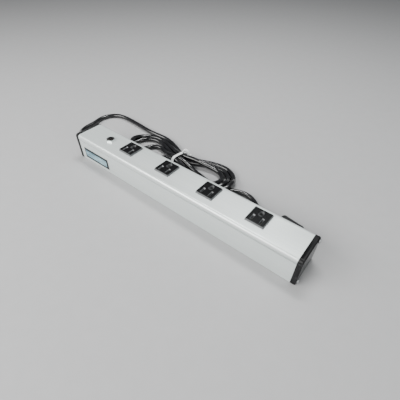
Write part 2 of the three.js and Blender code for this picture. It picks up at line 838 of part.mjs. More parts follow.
function makeWires() {
  const busStart = firstReceptacleX - bladeHalfSpacing - wireEnd;
  const busEnd = lastReceptacleX + bladeHalfSpacing + wireEnd;
  const lineX = breakerX + lineTabX;
  const loadX = breakerX + loadTabX;
  const breakerWireY = breakerY + terminalY;
  const hotIn = wireFromCord(
    -1.8, 1, [lineX - 12, breakerWireY + 1.5, hotWireHeight], [lineX - wireEnd, breakerWireY, hotWireHeight],
    [lineX, breakerWireY, hotWireHeight], [lineX + wireEnd, breakerWireY, hotWireHeight],
  );
  add("hot_wire_in", tube(hotIn, wireRadius, 14, 8), blackWire);

  const hotRun = smooth([
    [loadX - wireEnd, breakerWireY, hotWireHeight],
    [loadX, breakerWireY, hotWireHeight],
    [loadX + wireEnd, breakerWireY, hotWireHeight],
    [busStart - wireEnd, hotWireY, hotWireHeight],
    [busStart, hotWireY, hotWireHeight],
    [busStart + wireEnd, hotWireY, hotWireHeight],
    [busEnd, hotWireY, hotWireHeight],
  ]);
  add("hot_bus_wire", tube(hotRun, wireRadius, 50, 8), blackWire);

  const buses = [
    ["neutral_bus_wire", 1.6, -2, neutralWireY, neutralWireHeight, whiteWire],
    ["ground_bus_wire", 1.8, 1.6, groundWireY, groundWireHeight, greenWire],
  ];
  for (const [name, offsetY, offsetZ, y, z, material] of buses) {
    const route = wireFromCord(
      offsetY, offsetZ, [jacketEndX + 20, (y + cordExitY) / 2, z], [jacketEndX + 34, y, z], [busStart, y, z],
      [busStart + wireEnd, y, z], [busEnd, y, z],
    );
    add(name, tube(route, wireRadius, 60, 8), material);
  }

  const jacket = rodX(cordDiameter / 2, housingLeft + clearance, jacketEndX, cordExitY, cordExitZ, 20);
  add("cord_jacket_end", jacket, cordPvc);
}

function makeGroundBond() {
  const x = housingLeft + bondX;
  const seat = wall + bossHeight;
  const ring = rodZ(bondHeadRadius, seat, seat + lugThickness, x, bondY, 20);
  const tailX = x + lugLength;
  const tail = block(x, tailX, bondY - wireRadius, bondY + wireRadius, seat, seat + lugThickness);
  const screwHole = rodZ(
    bondScrewRadius + clearance, seat - beyond, seat + lugThickness + beyond, x, bondY, 16,
  );
  add("ground_lug", cut(join(ring, tail), screwHole), brass);

  const besideBus = groundWireY - 2 * wireRadius - clearance;
  const bondWire = smooth([
    [tailX + clearance, bondY, seat + lugThickness / 2],
    [tailX + 8, bondY, seat + lugThickness / 2],
    [tailX + 22, neutralWireY, seat + lugThickness / 2],
    [tailX + 32, besideBus - 1, seat + 2],
    [tailX + 44, besideBus, groundWireHeight],
    [tailX + 50, besideBus, groundWireHeight],
  ]);
  add("ground_bond_wire", tube(bondWire, wireRadius, 20, 8), greenWire);

  const top = seat + lugThickness;
  const screw = join(
    rodZ(bondHeadRadius, top, top + bondHeadHeight, x, bondY, 6),
    rodZ(bondScrewRadius, wall + clearance, top + bondHeadHeight / 2, x, bondY, 16),
  );
  add("ground_screw", screw, steel);
}

// ---- Name plate ----

function makePlate() {
  const x = housingLeft + plateInset;
  const front = -halfWidth;
  const plate = block(
    x, x + plateLength, front - plateThickness, front, plateBottom, plateBottom + plateHeight,
  );
  add("name_plate", plate, plateFilm);
}

// ---- Cord, hank, tie and plug ----

const cordSet = new THREE.Group();
cordSet.position.set(-overallLength / 2, halfWidth, 0);
strip.add(cordSet);

function strainRelief() {
  const face = capThickness;
  const inside = -lipDepth;
  const outside = face + bootFlangeThickness;
  const flangeEdge = 0.8;
  return turned(
    [
      [0, clearance],
      [bootNeckRadius, clearance],
      [bootNeckRadius, face],
      [bootFlangeRadius, face],
      [bootFlangeRadius, outside - flangeEdge],
      [bootFlangeRadius - flangeEdge, outside],
      [bootRootRadius, outside],
      [bootTipRadius, outside + bootLength],
      [0, outside + bootLength],
    ],
    latheToMinusX,
    24,
  ).translate(housingLeft, cordExitY, cordExitZ);
}

function hankOutline(grow) {
  const shape = new THREE.Shape();
  const half = waistLength / 2;
  const right = (rightLobe.turn * Math.PI) / 180;
  const left = (leftLobe.turn * Math.PI) / 180;
  shape.absarc(rightLobe.x, rightLobe.y, rightLobe.radius + grow, -right, right);
  shape.lineTo(waistX + half, waistFar + grow);
  shape.lineTo(waistX - half, waistFar + grow);
  shape.absarc(leftLobe.x, leftLobe.y, leftLobe.radius + grow, Math.PI - left, Math.PI + left);
  shape.lineTo(waistX - half, waistNear - grow);
  shape.lineTo(waistX + half, waistNear - grow);
  return shape;
}

function hankSolid(grow) {
  const shape = hankOutline(grow);
  const depth = hankHeight + grow;
  return new THREE.ExtrudeGeometry(shape, { depth, bevelEnabled: false, curveSegments: 28 });
}

function makeTie() {
  const half = tieWidth / 2;
  const inner = roundedOutline(
    waistNear - clearance, waistFar + clearance, tieThickness, hankHeight + clearance, tieCorner,
  );
  const outer = roundedOutline(
    waistNear - clearance - tieThickness, waistFar + clearance + tieThickness, 0,
    hankHeight + clearance + tieThickness, tieCorner + tieThickness,
  );
  const band = cut(
    extrudeX(outer, waistX - half, waistX + half),
    extrudeX(inner, waistX - half - beyond, waistX + half + beyond),
  );
  add("cord_tie", band, tiePlastic, cordSet);
}

function makeCord() {
  // The first and last few millimetres are straight, in line with what the cord comes out of.
  const leadX = -bootFlangeThickness - bootLength - clearance;
  const yaw = (plugYaw * Math.PI) / 180;
  const shortOfTip = (distance) => [
    plugTip.x - distance * Math.cos(yaw), plugTip.y - distance * Math.sin(yaw), plugHeight / 2,
  ];
  const lead = smooth([
    [leadX, -cordExitFromBack, cordExitZ], [leadX - straightEnd, -cordExitFromBack, cordExitZ], ...leadRoute,
  ]);
  const tail = smooth([...tailRoute, shortOfTip(clearance + straightEnd), shortOfTip(clearance)]);
  const grown = hankSolid(clearance);
  add("cord_lead", cut(tube(lead, cordDiameter / 2, 26, 10), grown), cordPvc, cordSet);
  add("cord_tail", cut(tube(tail, cordDiameter / 2, 12, 10), grown), cordPvc, cordSet);

  // Rounded like the tie inside, so that the tie passes all round it
  const tieRoom = tieWidth / 2 + clearance;
  const section = roundedOutline(
    waistNear, waistFar, tieThickness + clearance, hankHeight, tieCorner - clearance,
  );
  const slice = block(
    waistX - tieRoom, waistX + tieRoom, waistNear - beyond, waistFar + beyond, -beyond, hankHeight + beyond,
  );
  const groove = cut(slice, extrudeX(section, waistX - tieRoom - beyond, waistX + tieRoom + beyond));
  add("cord_hank", cut(hankSolid(0), groove), cordPvc, cordSet);
  makeTie();
}

function plugBlades() {
  const face = plugReliefLength + plugLength;
  const z = plugHeight / 2;
  const flat = (bladeWidth, bladeZ) => (grow) =>
    block(
      face - plugPocket - grow, face + plugBladeLength + grow,
      plugBladeY - bladeWidth / 2 - grow, plugBladeY + bladeWidth / 2 + grow,
      bladeZ - plugBladeThickness / 2 - grow, bladeZ + plugBladeThickness / 2 + grow,
    );
  const round = (grow) =>
    turned(
      [
        [0, -plugPocket - grow],
        [plugGroundRadius + grow, -plugPocket - grow],
        [plugGroundRadius + grow, plugGroundLength - plugGroundRadius],
        [plugGroundRadius * 0.7, plugGroundLength - plugGroundRadius * 0.3],
        [0, plugGroundLength],
      ],
      latheToX,
      20,
    ).translate(face, plugGroundY, z);
  return {
    plug_hot_blade: flat(plugHotWidth, z + bladeHalfSpacing),
    plug_neutral_blade: flat(plugNeutralWidth, z - bladeHalfSpacing),
    plug_ground_pin: round,
  };
}

function makePlug() {
  const plug = new THREE.Group();
  plug.position.set(plugTip.x, plugTip.y, 0);
  plug.rotation.z = (plugYaw * Math.PI) / 180;
  cordSet.add(plug);

  const shape = roundedOutline(
    -plugWidth / 2 + plugRound, plugWidth / 2 - plugRound, plugRound, plugHeight - plugRound,
    plugCorner - plugRound,
  );
  const body = new THREE.ExtrudeGeometry(shape, {
    depth: plugLength - 2 * plugRound,
    bevelThickness: plugRound,
    bevelSize: plugRound,
    bevelSegments: 3,
    curveSegments: 5,
  });
  body.applyMatrix4(alongX).translate(plugReliefLength + plugRound, 0, 0);
  const relief = turned(
    [
      [0, 0],
      [plugReliefTip, 0],
      [plugReliefRoot, plugReliefLength],
      [plugReliefRoot, plugReliefLength + plugRound],
      [0, plugReliefLength + plugRound],
    ],
    latheToX,
    20,
  ).translate(0, 0, plugHeight / 2);
  const blades = plugBlades();
  const pockets = Object.values(blades).map((blade) => blade(clearance));
  add("plug_body", cut(join(body, relief), ...pockets), cordPvc, plug);
  for (const [name, blade] of Object.entries(blades)) add(name, blade(0), brass, plug);
}

makeHousing();
makeEnds();
makeReceptacles();
makeBreaker();
makeWires();
makeGroundBond();
makePlate();
add("strain_relief", strainRelief(), capPlastic);
makeCord();
makePlug();

export default strip;
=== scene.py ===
import json
import math

import bmesh
import bpy
import numpy as np
from mathutils import Matrix, Vector

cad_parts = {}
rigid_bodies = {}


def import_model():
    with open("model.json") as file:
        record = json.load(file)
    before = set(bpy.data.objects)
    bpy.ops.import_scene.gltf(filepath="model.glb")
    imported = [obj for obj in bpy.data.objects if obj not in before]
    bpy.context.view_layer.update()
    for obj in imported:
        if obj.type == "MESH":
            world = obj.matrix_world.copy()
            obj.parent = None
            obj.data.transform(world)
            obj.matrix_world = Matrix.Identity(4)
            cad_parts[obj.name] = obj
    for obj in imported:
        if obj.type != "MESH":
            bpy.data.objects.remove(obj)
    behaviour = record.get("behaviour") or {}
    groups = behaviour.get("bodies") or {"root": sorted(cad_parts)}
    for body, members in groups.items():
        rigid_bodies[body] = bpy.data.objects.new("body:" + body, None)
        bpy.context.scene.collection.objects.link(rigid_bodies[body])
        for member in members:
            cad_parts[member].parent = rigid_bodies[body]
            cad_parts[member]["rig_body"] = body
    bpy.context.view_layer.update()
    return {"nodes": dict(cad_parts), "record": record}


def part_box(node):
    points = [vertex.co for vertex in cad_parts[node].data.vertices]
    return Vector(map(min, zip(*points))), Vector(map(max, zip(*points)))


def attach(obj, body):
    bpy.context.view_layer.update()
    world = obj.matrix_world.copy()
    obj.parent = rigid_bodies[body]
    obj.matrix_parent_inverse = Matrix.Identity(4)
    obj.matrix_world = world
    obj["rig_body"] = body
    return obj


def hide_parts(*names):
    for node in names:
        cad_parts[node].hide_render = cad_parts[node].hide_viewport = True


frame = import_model()
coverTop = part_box("top_cover")[1].z
print("frame loaded:", len(frame["nodes"]), "solids")

cameraView = {
    "place": (0.229337, -0.234297, 0.310918),
    "right": (0.78060, 0.62501, 0.00469),
    "down": (0.43617, -0.53933, -0.72033),
    "ahead": (-0.44769, 0.56434, -0.69361),
    "lens": 26.887,
    "sensor": 36,
    "nearest": 0.01,
}

cameraData = bpy.data.cameras.new("stripCamera")
cameraData.lens = cameraView["lens"]
cameraData.sensor_width = cameraView["sensor"]
cameraData.clip_start = cameraView["nearest"]
stripCamera = bpy.data.objects.new("stripCamera", cameraData)
turn = Matrix((
    Vector(cameraView["right"]), -Vector(cameraView["down"]), -Vector(cameraView["ahead"]),
)).transposed().to_4x4()
stripCamera.matrix_world = Matrix.Translation(cameraView["place"]) @ turn
bpy.context.scene.collection.objects.link(stripCamera)
bpy.context.scene.camera = stripCamera

# Where each light hangs, its width and depth in metres, its power in watts and its tint
lights = {
    "frontSoftbox": {
        "place": (-0.45, -1.05, 0.85), "size": (1.7, 0.7), "power": 38, "tint": (1.0, 0.995, 0.98),
    },
    "overheadSoftbox": {
        "place": (0.25, 0.55, 1.35), "size": (1.2, 0.5), "power": 6, "tint": (0.96, 1.0, 0.985),
    },
    "narrowStrip": {
        "place": (-0.15, 0.35, 1.1), "size": (0.5, 0.08), "power": 9, "tint": (1.0, 1.0, 1.0),
    },
    "sideFill": {
        "place": (1.3, -0.25, 0.55), "size": (0.6, 0.6), "power": 4, "tint": (1.0, 1.0, 1.0),
    },
}
lightAim = (0, 0.02, 0.03)  # the point that every light faces
roomLight = {"tint": (0.80, 0.82, 0.84, 1), "strength": 0.26}


def hangLight(name, place, size, power, tint):
    data = bpy.data.lights.new(name, "AREA")
    data.shape = "RECTANGLE"
    data.size, data.size_y = size
    data.energy = power
    data.color = tint
    lamp = bpy.data.objects.new(name, data)
    lamp.location = place
    lamp.rotation_euler = (Vector(lightAim) - Vector(place)).to_track_quat("-Z", "Y").to_euler()
    bpy.context.scene.collection.objects.link(lamp)


for lightName, light in lights.items():
    hangLight(lightName, **light)

paleRoom = bpy.data.worlds.new("paleRoom")
paleRoom.use_nodes = True
background = paleRoom.node_tree.nodes["Background"]
background.inputs["Color"].default_value = roomLight["tint"]
background.inputs["Strength"].default_value = roomLight["strength"]
bpy.context.scene.world = paleRoom
print("camera and lights in place")


class Number:
    # A value socket that Python's own operators work on
    def __init__(self, finish, socket):
        self.finish = finish
        self.socket = socket

    def maths(self, operation, *others):
        values = {i: other for i, other in enumerate((self,) + others)}
        return self.finish.number("ShaderNodeMath", {"operation": operation}, values)

    def reverse(self, operation, other):
        values = {0: other, 1: self}
        return self.finish.number("ShaderNodeMath", {"operation": operation}, values)

    def __add__(self, other):
        return self.maths("ADD", other)

    def __radd__(self, other):
        return self.maths("ADD", other)

    def __sub__(self, other):
        return self.maths("SUBTRACT", other)

    def __rsub__(self, other):
        return self.reverse("SUBTRACT", other)

    def __mul__(self, other):
        return self.maths("MULTIPLY", other)

    def __rmul__(self, other):
        return self.maths("MULTIPLY", other)

    def __truediv__(self, other):
        return self.maths("DIVIDE", other)

    def __rtruediv__(self, other):
        return self.reverse("DIVIDE", other)

    def __abs__(self):
        return self.maths("ABSOLUTE")

    def lower(self, other):
        return self.maths("MINIMUM", other)

    def between(self, start, end):
        # 0 at start and 1 at end, eased at both
        values = {"Value": self, "From Min": start, "From Max": end}
        return self.finish.number("ShaderNodeMapRange", {"interpolation_type": "SMOOTHSTEP"}, values)


class Finish:
    # One material with a Principled shader, and the nodes that vary it
    def __init__(self, name, **constants):
        self.material = bpy.data.materials.new(name)
        self.material.use_nodes = True
        self.tree = self.material.node_tree
        self.tree.nodes.clear()
        self.shader = self.node("ShaderNodeBsdfPrincipled")
        self.node("ShaderNodeOutputMaterial", None, {"Surface": self.shader.outputs[0]})
        self.places = self.node("ShaderNodeTexCoord").outputs["Object"]
        for key, value in constants.items():
            self.shader.inputs[key.replace("_", " ")].default_value = value

    def node(self, kind, settings=None, values=None):
        made = self.tree.nodes.new(kind)
        for key, value in (settings or {}).items():
            setattr(made, key, value)
        for key, value in (values or {}).items():
            if isinstance(value, Number):
                value = value.socket
            if isinstance(value, bpy.types.NodeSocket):
                self.tree.links.new(value, made.inputs[key])
            else:
                made.inputs[key].default_value = value
        return made

    def number(self, kind, settings, values):
        return Number(self, self.node(kind, settings, values).outputs[0])

    def axes(self, vector=None):
        parts = self.node("ShaderNodeSeparateXYZ", None, {0: vector or self.places})
        return [Number(self, parts.outputs[i]) for i in range(3)]

    def noise(self, scale, stretch=(1, 1, 1), detail=2.0):
        values = {"Vector": self.places, "Scale": stretch}
        spread = self.node("ShaderNodeMapping", None, values)
        values = {"Vector": spread.outputs[0], "Scale": scale, "Detail": detail}
        return self.number("ShaderNodeTexNoise", None, values)

    def mix(self, factor, first, second):
        values = {0: factor, 6: first, 7: second}
        return self.node("ShaderNodeMix", {"data_type": "RGBA"}, values).outputs[2]

    def bump(self, height, strength, distance, under=None):
        values = {"Height": height, "Strength": strength, "Distance": distance}
        if under is not None:
            values["Normal"] = under
        return self.node("ShaderNodeBump", None, values).outputs[0]

    def set(self, **sockets):
        for key, value in sockets.items():
            socket = self.shader.inputs[key.replace("_", " ")]
            if isinstance(value, Number):
                value = value.socket
            self.tree.links.new(value, socket)
        return self.material


def colour(red, green, blue):
    return (red, green, blue, 1)


finishes = {}

housing = {
    "silver": colour(0.74, 0.80, 0.785),
    # pale drawn lines, and the painted highlight on the rounded corners
    "paleAndHighlight": colour(0.95, 0.965, 0.965),
    "dull": colour(0.70, 0.755, 0.745),
    "metallic": 0.45,
    "roughness": 0.36,
    "drawnDepth": 0.05,
    "cornerDepth": (0.0222, 0.0241),  # where the long rounded corners start and end, from the middle
    "cornerHeight": (0.0405, 0.0444),
}


def makeAluminium():
    finish = Finish("satinAluminium", Metallic=housing["metallic"], Specular_IOR_Level=0.5)
    y, z = finish.axes()[1:]
    lines = finish.noise(1, (6, 1500, 1500), 3)  # drawn lengthwise
    clouds = finish.noise(14, (0.5, 1, 1), 3)
    speckle = finish.noise(2600, detail=1)
    # painted highlight along the long rounded corners, where light catches them, broken up by the
    # clouds
    corner = abs(y).between(*housing["cornerDepth"]) * z.between(*housing["cornerHeight"])
    base = finish.mix(clouds, housing["dull"], housing["silver"])
    base = finish.mix(lines.between(0.35, 0.75) * 0.35, base, housing["paleAndHighlight"])
    base = finish.mix((corner * (clouds + 0.35)).lower(1), base, housing["paleAndHighlight"])
    roughness = housing["roughness"] + (lines - 0.5) * 0.12 + (clouds - 0.5) * 0.16 - corner * 0.08
    grain = finish.bump(speckle, 0.10, 0.00006)
    drawn = finish.bump(lines, housing["drawnDepth"], 0.0001, grain)
    return finish.set(Base_Color=base, Roughness=roughness, Normal=drawn)


endCap = {
    "black": colour(0.0045, 0.0045, 0.005),
    "worn": colour(0.03, 0.031, 0.033),
    "grain": 0.25,
    "endFace": (0.2024, 0.2030),  # distance from the middle at which the polished end face starts
    "sideEdge": (0.0228, 0.0246),
}


def makeCapPlastic():
    finish = Finish("blackCapPlastic", Specular_IOR_Level=0.22)
    x, y = finish.axes()[:2]
    outside = abs(x).between(*endCap["endFace"])
    pebble = finish.noise(1700, detail=2)
    smears = finish.noise(45, (1, 1, 0.35), 4)
    rub = finish.noise(260, detail=3)
    edge = abs(y).between(*endCap["sideEdge"]) * rub.between(0.52, 0.72)
    base = finish.mix(edge * 0.8, endCap["black"], endCap["worn"])
    roughness = 0.38 - outside * 0.14 + (smears - 0.5) * 0.14
    bumpy = finish.bump(pebble * (1 - outside * 0.85), endCap["grain"], 0.00008)
    return finish.set(Base_Color=base, Roughness=roughness, Normal=bumpy)


receptacle = {
    "black": colour(0.004, 0.004, 0.0045),
    # pale grey of the painted highlight on the slot edges
    "paintedSlotHighlight": colour(0.30, 0.31, 0.32),
    "skirt": colour(0.19, 0.195, 0.20),
    "bladeOffset": 0.00635,  # from the receptacle's middle line to each blade slot
    "slotEdge": (0.0012, 0.0016),
    "slotEnd": (0.0042, 0.0052),
    "holeOffset": 0.0034,
    "holeEdge": (0.0031, 0.0037),
    "topHeights": (0.0008, 0.0030),  # above the cover
    "skirtHeights": (0.0018, 0.0034),
}

# The receptacles' places, read from their solids
receptacleLow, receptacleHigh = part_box("receptacle_1_face")
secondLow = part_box("receptacle_2_face")[0]
receptaclePitch = secondLow.x - receptacleLow.x
firstX = (receptacleLow.x + receptacleHigh.x) / 2
contactLow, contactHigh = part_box("receptacle_1_hot_contact")
bladeY = (contactLow.y + contactHigh.y) / 2
groundY = (receptacleLow.y + receptacleHigh.y) / 2 + receptacle["holeOffset"]


def makeFacePlastic():
    finish = Finish("blackFacePlastic", Specular_IOR_Level=0.22)
    x, y, z = finish.axes()
    cell = (x - firstX) / receptaclePitch
    across = (cell - cell.maths("ROUND")) * receptaclePitch  # from each receptacle's middle line
    # painted highlight on the edges of the slots, and fainter round the round hole
    slotX = abs(abs(across) - receptacle["bladeOffset"])
    slotY = abs(y - bladeY)
    slot = (1 - slotX.between(*receptacle["slotEdge"])) * (1 - slotY.between(*receptacle["slotEnd"]))
    ring = (across * across + (y - groundY) * (y - groundY)).maths("SQRT")
    hole = 1 - ring.between(*receptacle["holeEdge"])
    highlightBreakup = finish.noise(900, detail=2)
    onTop = z.between(*[coverTop + height for height in receptacle["topHeights"]])
    paintedSlotHighlight = (slot + hole * 0.25).lower(1) * onTop * (0.35 + highlightBreakup * 0.9).lower(1)
    skirt = 1 - z.between(*[coverTop + height for height in receptacle["skirtHeights"]])
    dust = finish.noise(420, detail=4)
    base = finish.mix(skirt * 0.75, receptacle["black"], receptacle["skirt"])
    base = finish.mix(paintedSlotHighlight * 0.7, base, receptacle["paintedSlotHighlight"])
    roughness = 0.20 + dust * 0.12 + skirt * 0.15
    bumpy = finish.bump(finish.noise(2100, detail=1), 0.10, 0.00005)
    return finish.set(Base_Color=base, Roughness=roughness, Normal=bumpy)


namePlate = {
    "border": colour(0.006, 0.007, 0.009),
    "film": colour(0.07, 0.15, 0.20),
    "shine": colour(0.42, 0.60, 0.67),
    "borderWidth": 0.0031,
    "leftBorder": 0.0012,
    "borderFade": 0.0003,
}


def makePlateFilm():
    low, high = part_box("name_plate")
    finish = Finish("printedFilm", Specular_IOR_Level=0.2)
    x, z = finish.axes()[::2]
    width, left, fade = namePlate["borderWidth"], namePlate["leftBorder"], namePlate["borderFade"]
    inside = z.between(low.z + width, low.z + width + fade)
    inside = inside * (1 - z.between(high.z - width * 1.3, high.z - width))
    inside = inside * x.between(low.x + left, low.x + left + fade)
    inside = inside * (1 - x.between(high.x - width * 1.6, high.x - width))
    sweep = x.between(low.x, high.x)
    streaks = finish.noise(160, (0.4, 1, 1), 3)
    sheen = (sweep * 0.35 + streaks.between(0.35, 0.65) * 0.6).lower(1)
    middle = finish.mix(sheen, namePlate["film"], namePlate["shine"])
    base = finish.mix(inside, namePlate["border"], middle)
    roughness = 0.34 + (streaks - 0.5) * 0.14
    bumpy = finish.bump(inside + finish.noise(1400, detail=1) * 0.15, 0.15, 0.00006)
    return finish.set(Base_Color=base, Roughness=roughness, Normal=bumpy)


# Metal parts inside and on top
metals = {
    "brass": {
        "tone": (0.72, 0.52, 0.20), "aged": (0.45, 0.29, 0.10), "roughness": 0.30, "grain": 420,
    },
    "steel": {
        "tone": (0.66, 0.67, 0.68), "aged": (0.42, 0.42, 0.43), "roughness": 0.28, "grain": 700,
    },
    "nut_chrome": {
        "tone": (0.80, 0.83, 0.82), "aged": (0.52, 0.55, 0.54), "roughness": 0.14, "grain": 500,
    },
    "spring_steel": {
        "tone": (0.42, 0.43, 0.45), "aged": (0.24, 0.22, 0.20), "roughness": 0.33, "grain": 900,
    },
    "bimetal": {
        "tone": (0.58, 0.36, 0.20), "aged": (0.34, 0.24, 0.18), "roughness": 0.36, "grain": 380,
    },
}


def makeMetal(name, tone, aged, roughness, grain):
    finish = Finish(name, Metallic=1.0)
    marks = finish.noise(grain, (1, 1, 0.3), 4)
    scratches = finish.noise(grain * 0.6, (9, 1, 1), 3)
    base = finish.mix(marks.between(0.35, 0.80) * 0.7, colour(*tone), colour(*aged))
    rough = roughness + (scratches - 0.5) * 0.22
    bumpy = finish.bump(scratches + marks * 0.4, 0.10, 0.00006)
    return finish.set(Base_Color=base, Roughness=rough, Normal=bumpy)


# Plastics and wire insulation
plastics = {
    "bakelite": {
        "tone": (0.034, 0.028, 0.025), "mottle": (0.052, 0.042, 0.036), "roughness": 0.42, "grain": 800,
    },
    "black_wire": {
        "tone": (0.012, 0.012, 0.012), "mottle": (0.022, 0.022, 0.023), "roughness": 0.34, "grain": 600,
    },
    "white_wire": {
        "tone": (0.80, 0.80, 0.77), "mottle": (0.70, 0.69, 0.63), "roughness": 0.34, "grain": 600,
    },
    "green_wire": {
        "tone": (0.04, 0.24, 0.08), "mottle": (0.03, 0.17, 0.06), "roughness": 0.34, "grain": 600,
    },
    "tie_plastic": {
        "tone": (0.92, 0.93, 0.92), "mottle": (0.80, 0.81, 0.80), "roughness": 0.38, "grain": 900,
    },
}


def makePlastic(name, tone, mottle, roughness, grain):
    finish = Finish(name, Specular_IOR_Level=0.5)
    patches = finish.noise(grain * 0.2, detail=3)
    pores = finish.noise(grain * 2.4, detail=1)
    base = finish.mix(patches.between(0.35, 0.75), colour(*tone), colour(*mottle))
    rough = roughness + (patches - 0.5) * 0.2
    return finish.set(Base_Color=base, Roughness=rough, Normal=finish.bump(pores, 0.16, 0.00008))


jacketTone = {
    "black": colour(0.0035, 0.0035, 0.0045),
    "scuffed": colour(0.014, 0.014, 0.016),
    "laysPerMetre": 16,  # the cores' twist, that shows faintly through the jacket
}


def makeJacket():
    finish = Finish("blackJacket", Specular_IOR_Level=0.5, Coat_Roughness=0.10, Coat_Weight=0.4)
    along = finish.node("ShaderNodeUVMap", {"uv_map": "alongCord"}).outputs[0]
    around, length = finish.axes(along)[:2]
    twist = ((around * 3 + length * jacketTone["laysPerMetre"]) * (2 * math.pi)).maths("SINE")
    scuffs = finish.noise(75, detail=4)
    pores = finish.noise(1500, detail=1)
    base = finish.mix(scuffs.between(0.50, 0.78), jacketTone["black"], jacketTone["scuffed"])
    roughness = 0.17 + scuffs * 0.10
    swell = finish.bump(twist, 0.08, 0.00015)
    bumpy = finish.bump(pores, 0.05, 0.00004, swell)
    return finish.set(Base_Color=base, Roughness=roughness, Normal=bumpy)


def makeMouldedPvc():
    # the plug and the strain relief: the jacket's plastic, moulded with a soft grain
    finish = Finish("mouldedBlackPvc", Specular_IOR_Level=0.5)
    scuffs = finish.noise(90, detail=4)
    pebble = finish.noise(1300, detail=2)
    base = finish.mix(scuffs.between(0.48, 0.75), jacketTone["black"], jacketTone["scuffed"])
    roughness = 0.34 + scuffs * 0.16
    return finish.set(Base_Color=base, Roughness=roughness, Normal=finish.bump(pebble, 0.22, 0.00009))


finishes["housing_aluminium"] = makeAluminium()
finishes["cap_plastic"] = makeCapPlastic()
finishes["face_plastic"] = makeFacePlastic()
finishes["plate_film"] = makePlateFilm()
for metalName, values in metals.items():
    finishes[metalName] = makeMetal(metalName, **values)
for plasticName, values in plastics.items():
    finishes[plasticName] = makePlastic(plasticName, **values)
finishes["cord_pvc"] = makeMouldedPvc()
jacket = makeJacket()
print("finishes made:", len(finishes) + 1)


lying = 0.0041  # height of the cord's middle where it lies
cord = {
    "diameter": 0.008,
    "sides": 16,
    "step": 0.003,
    "ringStep": 0.0025,
    "exit": (-0.2057, 0.008, 0.014),
    "lead": [
        (-0.2320, 0.0080, 0.0140), (-0.2360, 0.0080, 0.0140), (-0.2400, 0.0080, 0.0140),
        (-0.2522, 0.0104, 0.0110), (-0.2626, 0.0174, 0.0075), (-0.2696, 0.0278, 0.0050),
        (-0.2725, 0.0400, lying), (-0.2735, 0.0540, lying), (-0.2760, 0.0660, lying),
        (-0.2775, 0.0770, lying), (-0.2750, 0.0891, lying), (-0.2678, 0.0998, lying),
        (-0.2571, 0.1070, lying), (-0.2445, 0.1095, lying), (-0.2280, 0.1096, lying),
        (-0.2100, 0.1083, lying), (-0.1900, 0.1060, lying), (-0.1700, 0.1034, lying),
        (-0.1500, 0.1020, lying), (-0.1400, 0.1016, lying), (-0.1200, 0.1004, lying),
        (-0.1020, 0.0966, lying), (-0.0860, 0.0900, lying), (-0.0730, 0.0840, 0.0046),
    ],
    "tail": [
        (-0.0430, 0.0676, 0.0113), (-0.0250, 0.0645, 0.0075), (-0.0070, 0.0600, lying),
        (0.0120, 0.0560, lying), (0.0270, 0.0540, lying), (0.0410, 0.0552, lying),
        (0.0530, 0.0596, lying), (0.0630, 0.0642, lying), (0.0720, 0.0672, lying),
        (0.0800, 0.0678, lying), (0.0885, 0.0660, lying), (0.0965, 0.0619, 0.0048),
        (0.1035, 0.0564, 0.0063), (0.1105, 0.0510, 0.0084), (0.1180, 0.0469, 0.0103),
        (0.12504, 0.04456, 0.0110), (0.1290, 0.0440, 0.0110), (0.1330, 0.04344, 0.0110),
    ],
}

over = 0.0123  # height of a strand's middle where it lies on another
# The hank's six folds, each a round end: its middle, radius, first and last angle, and heights
folds = [
    (0.017, 0.0640, 0.034, 100, -100,
     [lying, lying, lying, 0.006, 0.0115, over, 0.009, lying, lying, lying]),
    (-0.126, 0.0605, 0.032, -80, -280, [lying] * 9),
    (0.012, 0.0645, 0.029, 100, -100,
     [lying, lying, lying, 0.007, 0.012, over, 0.009, lying, lying]),
    (-0.131, 0.0665, 0.030, -80, -275,
     [lying, 0.005, 0.0095, over, over, over, over, over, 0.012]),
    (0.007, 0.0585, 0.027, 95, -100,
     [over, over, over, over, over, over, over, 0.0118, 0.0115]),
    (-0.104, 0.0565, 0.024, -85, -275,
     [over, over, over, 0.009, lying, lying, lying, lying]),
]
tieX = -0.059
# Where the seven strands pass through the tie: depth and height
strandPlaces = [
    (0.0810, 0.0053), (0.0564, 0.0053), (0.0728, 0.0053), (0.0646, 0.0053),
    (0.0769, 0.0122), (0.0605, 0.0122), (0.0687, 0.0122),
]


def smoothLine(points, step):
    # a smooth curve through the points
    points = np.array(points, float)
    ends = np.vstack([2 * points[0] - points[1], points, 2 * points[-1] - points[-2]])
    line = []
    for i in range(1, len(ends) - 2):
        p0, p1, p2, p3 = ends[i - 1: i + 3]
        t0 = 0
        t1 = t0 + np.linalg.norm(p1 - p0) ** 0.5
        t2 = t1 + np.linalg.norm(p2 - p1) ** 0.5
        t3 = t2 + np.linalg.norm(p3 - p2) ** 0.5
        count = max(2, int(np.ceil(np.linalg.norm(p2 - p1) / step)))
        for t in np.linspace(t1, t2, count, endpoint=False):
            a1 = (t1 - t) / (t1 - t0) * p0 + (t - t0) / (t1 - t0) * p1
            a2 = (t2 - t) / (t2 - t1) * p1 + (t - t1) / (t2 - t1) * p2
            a3 = (t3 - t) / (t3 - t2) * p2 + (t - t2) / (t3 - t2) * p3
            b1 = (t2 - t) / (t2 - t0) * a1 + (t - t0) / (t2 - t0) * a2
            b2 = (t3 - t) / (t3 - t1) * a2 + (t - t1) / (t3 - t1) * a3
            line.append((t2 - t) / (t2 - t1) * b1 + (t - t1) / (t2 - t1) * b2)
    line.append(points[-1])
    return np.array(line)


def evenSteps(line, step):
    gone = np.concatenate([[0], np.cumsum(np.linalg.norm(np.diff(line, axis=0), axis=1))])
    count = int(round(gone[-1] / step))
    at = np.linspace(0, gone[-1], count + 1)
    return np.stack([np.interp(at, gone, line[:, k]) for k in range(3)], 1), gone[-1]


def easeBetween(start, startWay, end, endWay, parts=4, pull=0.36):
    # points of a cubic curve, for the nearly straight strand between the tie and a fold
    reach = np.linalg.norm(end - start) * pull
    made = []
    for i in range(1, parts):
        u = i / parts
        v = 1 - u
        made.append(
            v ** 3 * start + 3 * v * v * u * (start + startWay * reach)
            + 3 * v * u * u * (end - endWay * reach) + u ** 3 * end
        )
    return made


